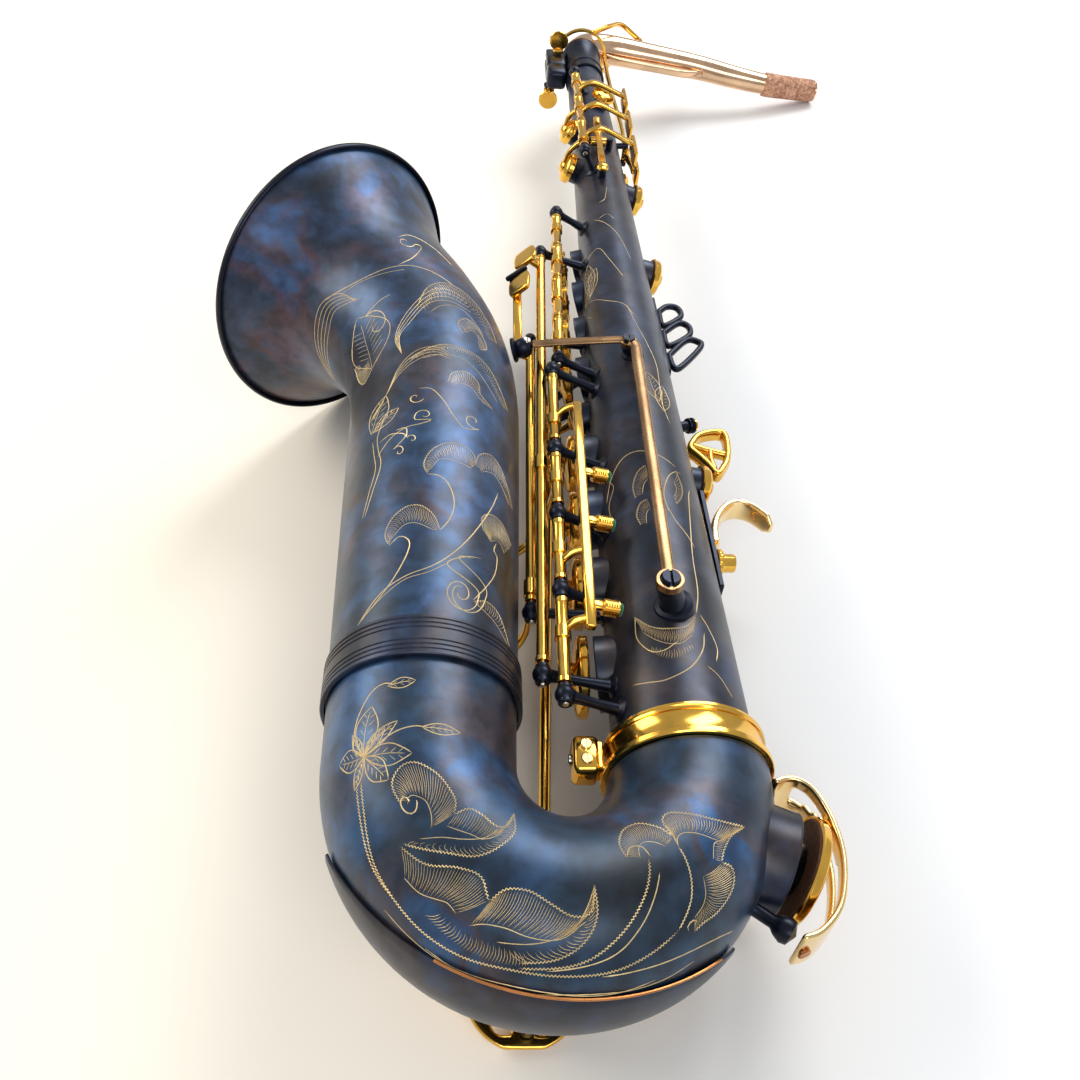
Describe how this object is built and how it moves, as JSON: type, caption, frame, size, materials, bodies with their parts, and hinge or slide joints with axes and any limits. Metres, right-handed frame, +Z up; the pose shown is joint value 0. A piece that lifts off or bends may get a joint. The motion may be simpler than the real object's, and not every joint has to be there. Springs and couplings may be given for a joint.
{
  "type": "saxophone",
  "caption": "Dark lacquered tenor saxophone with engraved bell and bow, gold keywork, rose gold neck and brace, lying on its side.",
  "frame": {"origin": "bottom centre of the bounding box, as the instrument lies on its side", "axes": "+Y from the bow to the neck, along the body tube, +Z up, the bell towards -X and the neck's tip towards +X"},
  "size_m": [0.427, 0.829, 0.1627],
  "materials": {
    "lacquer": "matte mottled dark blue lacquer with fine engraving",
    "black": "satin black",
    "gold": "polished gold plate",
    "rose_gold": "polished rose gold",
    "steel": "turned steel",
    "cork": "natural cork"
  },
  "bodies": {
    "neck_screw": {"neck_screw": "gold"},
    "lyre_screw": {"lyre_screw": "gold"},
    "neck": {"neck": "rose_gold", "neck_cork": "cork"},
    "neck_octave_key": {"neck_octave_key": "gold"},
    "low_d_key": {"low_d_key": "gold"},
    "low_e_key": {"low_e_key": "gold"},
    "low_f_key": {"low_f_key": "gold"},
    "f_sharp_key": {"f_sharp_key": "gold"},
    "g_key": {"g_key": "gold"},
    "a_key": {"a_key": "gold"},
    "b_key": {"b_key": "gold"},
    "c_key": {"c_key": "gold"},
    "side_f_sharp_key": {"side_f_sharp_key": "gold"},
    "side_b_flat_key": {"side_b_flat_key": "gold"},
    "side_c_key": {"side_c_key": "gold"},
    "high_e_key": {"high_e_key": "gold"},
    "palm_d_key": {"palm_d_key": "gold"},
    "palm_e_flat_key": {"palm_e_flat_key": "gold"},
    "palm_f_key": {"palm_f_key": "gold"},
    "low_b_key": {"low_b_key": "gold"},
    "low_b_flat_key": {"low_b_flat_key": "gold"},
    "low_c_sharp_key": {"low_c_sharp_key": "gold"},
    "low_c_key": {"low_c_key": "gold"},
    "low_e_flat_key": {"low_e_flat_key": "gold"},
    "g_sharp_key": {"g_sharp_key": "gold"},
    "octave_rocker": {"octave_rocker": "gold"},
    "thumb_octave_lever": {"thumb_octave_lever": "gold"},
    "thumb_hook_screw": {"thumb_hook_screw": "gold"},
    "body": {"body_tube": "lacquer", "lower_stack_rod": "steel", "upper_stack_rod": "steel", "low_b_rod": "steel", "low_b_flat_rod": "steel", "low_c_sharp_rod": "steel", "bow_keys_rod": "steel", "g_sharp_rod": "steel", "palm_rod": "steel", "back_rod": "steel", "bow": "lacquer", "bell": "lacquer", "bell_rim": "black", "body_bow_ring": "gold", "ring_clamp_block": "gold", "bell_bow_ring": "black", "neck_receiver": "black", "thumb_rest": "black", "brace_bell_post": "black", "bell_brace": "rose_gold", "brace_lower_screw": "black", "strap_ring": "black", "thumb_hook_plate": "black", "thumb_hook": "gold", "side_key_guard": "gold", "side_guard_post": "black", "low_c_guard": "gold", "bow_key_guard": "gold", "bow_plate": "lacquer"}
  },
  "joints": [
    {"name": "neck_screw_hinge", "type": "hinge", "parent": "body", "child": "neck_screw", "pos_m": [-0.00839, 0.35398, 0.05961], "axis": [0.1564, 0, 0.9877], "continuous": true},
    {"name": "lyre_screw_hinge", "type": "hinge", "parent": "body", "child": "lyre_screw", "pos_m": [-0.014, 0.32799, 0.06252], "axis": [-0.1564, 0, -0.9877], "continuous": true},
    {"name": "neck_swivel", "type": "hinge", "parent": "body", "child": "neck", "pos_m": [0.01266, 0.36999, 0.0583], "axis": [0, 1, 0], "range_deg": [-30, 60]},
    {"name": "neck_octave_key_hinge", "type": "hinge", "parent": "neck", "child": "neck_octave_key", "pos_m": [0.06311, 0.40898, 0.04568], "axis": [0.1564, 0, 0.9877], "range_deg": [0, 3.5], "stiffness_Nm_per_rad": 0.05, "springref_deg": -45.84},
    {"name": "low_d_key_hinge", "type": "hinge", "parent": "body", "child": "low_d_key", "pos_m": [-0.03301, -0.28762, 0.08578], "axis": [-0.018, -0.9998, 0.0029], "range_deg": [0, 8], "stiffness_Nm_per_rad": 0.1, "springref_deg": -45.84},
    {"name": "low_e_key_hinge", "type": "hinge", "parent": "body", "child": "low_e_key", "pos_m": [-0.03201, -0.23242, 0.08562], "axis": [-0.018, -0.9998, 0.0029], "range_deg": [0, 8], "stiffness_Nm_per_rad": 0.1, "springref_deg": -45.84},
    {"name": "low_f_key_hinge", "type": "hinge", "parent": "body", "child": "low_f_key", "pos_m": [-0.03117, -0.18541, 0.08549], "axis": [-0.018, -0.9998, 0.0029], "range_deg": [0, 8], "stiffness_Nm_per_rad": 0.1, "springref_deg": -45.84},
    {"name": "f_sharp_key_hinge", "type": "hinge", "parent": "body", "child": "f_sharp_key", "pos_m": [-0.03035, -0.14042, 0.08536], "axis": [-0.018, -0.9998, 0.0029], "range_deg": [0, 8], "stiffness_Nm_per_rad": 0.1, "springref_deg": -45.84},
    {"name": "g_key_hinge", "type": "hinge", "parent": "body", "child": "g_key", "pos_m": [-0.02501, -0.06241, 0.08249], "axis": [-0.0363, -0.9993, 0.0058], "range_deg": [0, 9], "stiffness_Nm_per_rad": 0.1, "springref_deg": -45.84},
    {"name": "a_key_hinge", "type": "hinge", "parent": "body", "child": "a_key", "pos_m": [-0.02395, -0.03322, 0.08232], "axis": [-0.0363, -0.9993, 0.0058], "range_deg": [0, 9], "stiffness_Nm_per_rad": 0.1, "springref_deg": -45.84},
    {"name": "b_key_hinge", "type": "hinge", "parent": "body", "child": "b_key", "pos_m": [-0.0225, 0.00679, 0.08209], "axis": [-0.0363, -0.9993, 0.0058], "range_deg": [0, 9], "stiffness_Nm_per_rad": 0.1, "springref_deg": -45.84},
    {"name": "c_key_hinge", "type": "hinge", "parent": "body", "child": "c_key", "pos_m": [-0.02123, 0.04179, 0.08189], "axis": [-0.0363, -0.9993, 0.0058], "range_deg": [0, 9], "stiffness_Nm_per_rad": 0.1, "springref_deg": -45.84},
    {"name": "side_f_sharp_key_hinge", "type": "hinge", "parent": "body", "child": "side_f_sharp_key", "pos_m": [0.0242, -0.19101, 0.02329], "axis": [-0.0082, 0.9997, 0.0226], "range_deg": [0, 10], "stiffness_Nm_per_rad": 0.1, "springref_deg": -45.84},
    {"name": "side_b_flat_key_hinge", "type": "hinge", "parent": "body", "child": "side_b_flat_key", "pos_m": [0.02369, -0.12901, 0.02469], "axis": [-0.0082, 0.9997, 0.0226], "range_deg": [0, 10], "stiffness_Nm_per_rad": 0.1, "springref_deg": -45.84},
    {"name": "side_c_key_hinge", "type": "hinge", "parent": "body", "child": "side_c_key", "pos_m": [0.02209, 0.06499, 0.02908], "axis": [-0.0082, 0.9997, 0.0226], "range_deg": [0, 10], "stiffness_Nm_per_rad": 0.1, "springref_deg": -45.84},
    {"name": "high_e_key_hinge", "type": "hinge", "parent": "body", "child": "high_e_key", "pos_m": [0.0213, 0.16098, 0.03125], "axis": [-0.0082, 0.9997, 0.0226], "range_deg": [0, 10], "stiffness_Nm_per_rad": 0.1, "springref_deg": -45.84},
    {"name": "palm_d_key_hinge", "type": "hinge", "parent": "body", "child": "palm_d_key", "pos_m": [0.0026, 0.15099, 0.0901], "axis": [0.005, 0.9999, -0.0157], "range_deg": [0, 9], "stiffness_Nm_per_rad": 0.1, "springref_deg": -45.84},
    {"name": "palm_e_flat_key_hinge", "type": "hinge", "parent": "body", "child": "palm_e_flat_key", "pos_m": [0.00278, 0.18799, 0.08952], "axis": [0.005, 0.9999, -0.0157], "range_deg": [0, 9], "stiffness_Nm_per_rad": 0.1, "springref_deg": -45.84},
    {"name": "palm_f_key_hinge", "type": "hinge", "parent": "body", "child": "palm_f_key", "pos_m": [0.00297, 0.22698, 0.08891], "axis": [-0.005, -0.9999, 0.0157], "range_deg": [0, 9], "stiffness_Nm_per_rad": 0.1, "springref_deg": -45.84},
    {"name": "low_b_key_hinge", "type": "hinge", "parent": "body", "child": "low_b_key", "pos_m": [-0.0416, -0.27202, 0.08005], "axis": [0.0327, 0.9995, -0.0052], "range_deg": [0, 7], "stiffness_Nm_per_rad": 0.25, "springref_deg": -45.84},
    {"name": "low_b_flat_key_hinge", "type": "hinge", "parent": "body", "child": "low_b_flat_key", "pos_m": [-0.04569, -0.22801, 0.06754], "axis": [0.0266, 0.9996, -0.0042], "range_deg": [0, 7], "stiffness_Nm_per_rad": 0.25, "springref_deg": -45.84},
    {"name": "low_c_sharp_key_hinge", "type": "hinge", "parent": "body", "child": "low_c_sharp_key", "pos_m": [-0.04886, -0.37301, 0.01775], "axis": [-0.048, -0.9987, -0.0178], "range_deg": [0, 9], "stiffness_Nm_per_rad": 0.25, "springref_deg": -45.84},
    {"name": "low_c_key_hinge", "type": "hinge", "parent": "body", "child": "low_c_key", "pos_m": [0.01411, -0.34342, 0.00988], "axis": [-0.0021, -0.9999, -0.013], "range_deg": [0, 7], "stiffness_Nm_per_rad": 0.25, "springref_deg": -45.84},
    {"name": "low_e_flat_key_hinge", "type": "hinge", "parent": "body", "child": "low_e_flat_key", "pos_m": [0.01406, -0.36362, 0.00962], "axis": [-0.0021, -0.9999, -0.013], "range_deg": [0, 9], "stiffness_Nm_per_rad": 0.25, "springref_deg": -45.84},
    {"name": "g_sharp_key_hinge", "type": "hinge", "parent": "body", "child": "g_sharp_key", "pos_m": [-0.03297, -0.09802, 0.03718], "axis": [-0.0224, -0.9997, 0.0036], "range_deg": [0, 9], "stiffness_Nm_per_rad": 0.1, "springref_deg": -45.84},
    {"name": "octave_rocker_hinge", "type": "hinge", "parent": "body", "child": "octave_rocker", "pos_m": [0.00311, 0.17699, 0.08107], "axis": [-0.9877, 0, 0.1564], "range_deg": [0, 5.01], "stiffness_Nm_per_rad": 0.05, "springref_deg": -45.84},
    {"name": "thumb_octave_lever_hinge", "type": "hinge", "parent": "body", "child": "thumb_octave_lever", "pos_m": [0.03318, 0.20398, 0.04654], "axis": [-0.1564, 0, -0.9877], "range_deg": [0, 3], "stiffness_Nm_per_rad": 0.1, "springref_deg": -45.84},
    {"name": "thumb_hook_screw_hinge", "type": "hinge", "parent": "body", "child": "thumb_hook_screw", "pos_m": [0.0422, -0.19401, 0.04856], "axis": [0.9877, 0, -0.1564], "continuous": true}
  ],
  "couplings": [
    {"joint": "octave_rocker_hinge", "follows": "thumb_octave_lever_hinge", "ratio": 1.6667}
  ]
}
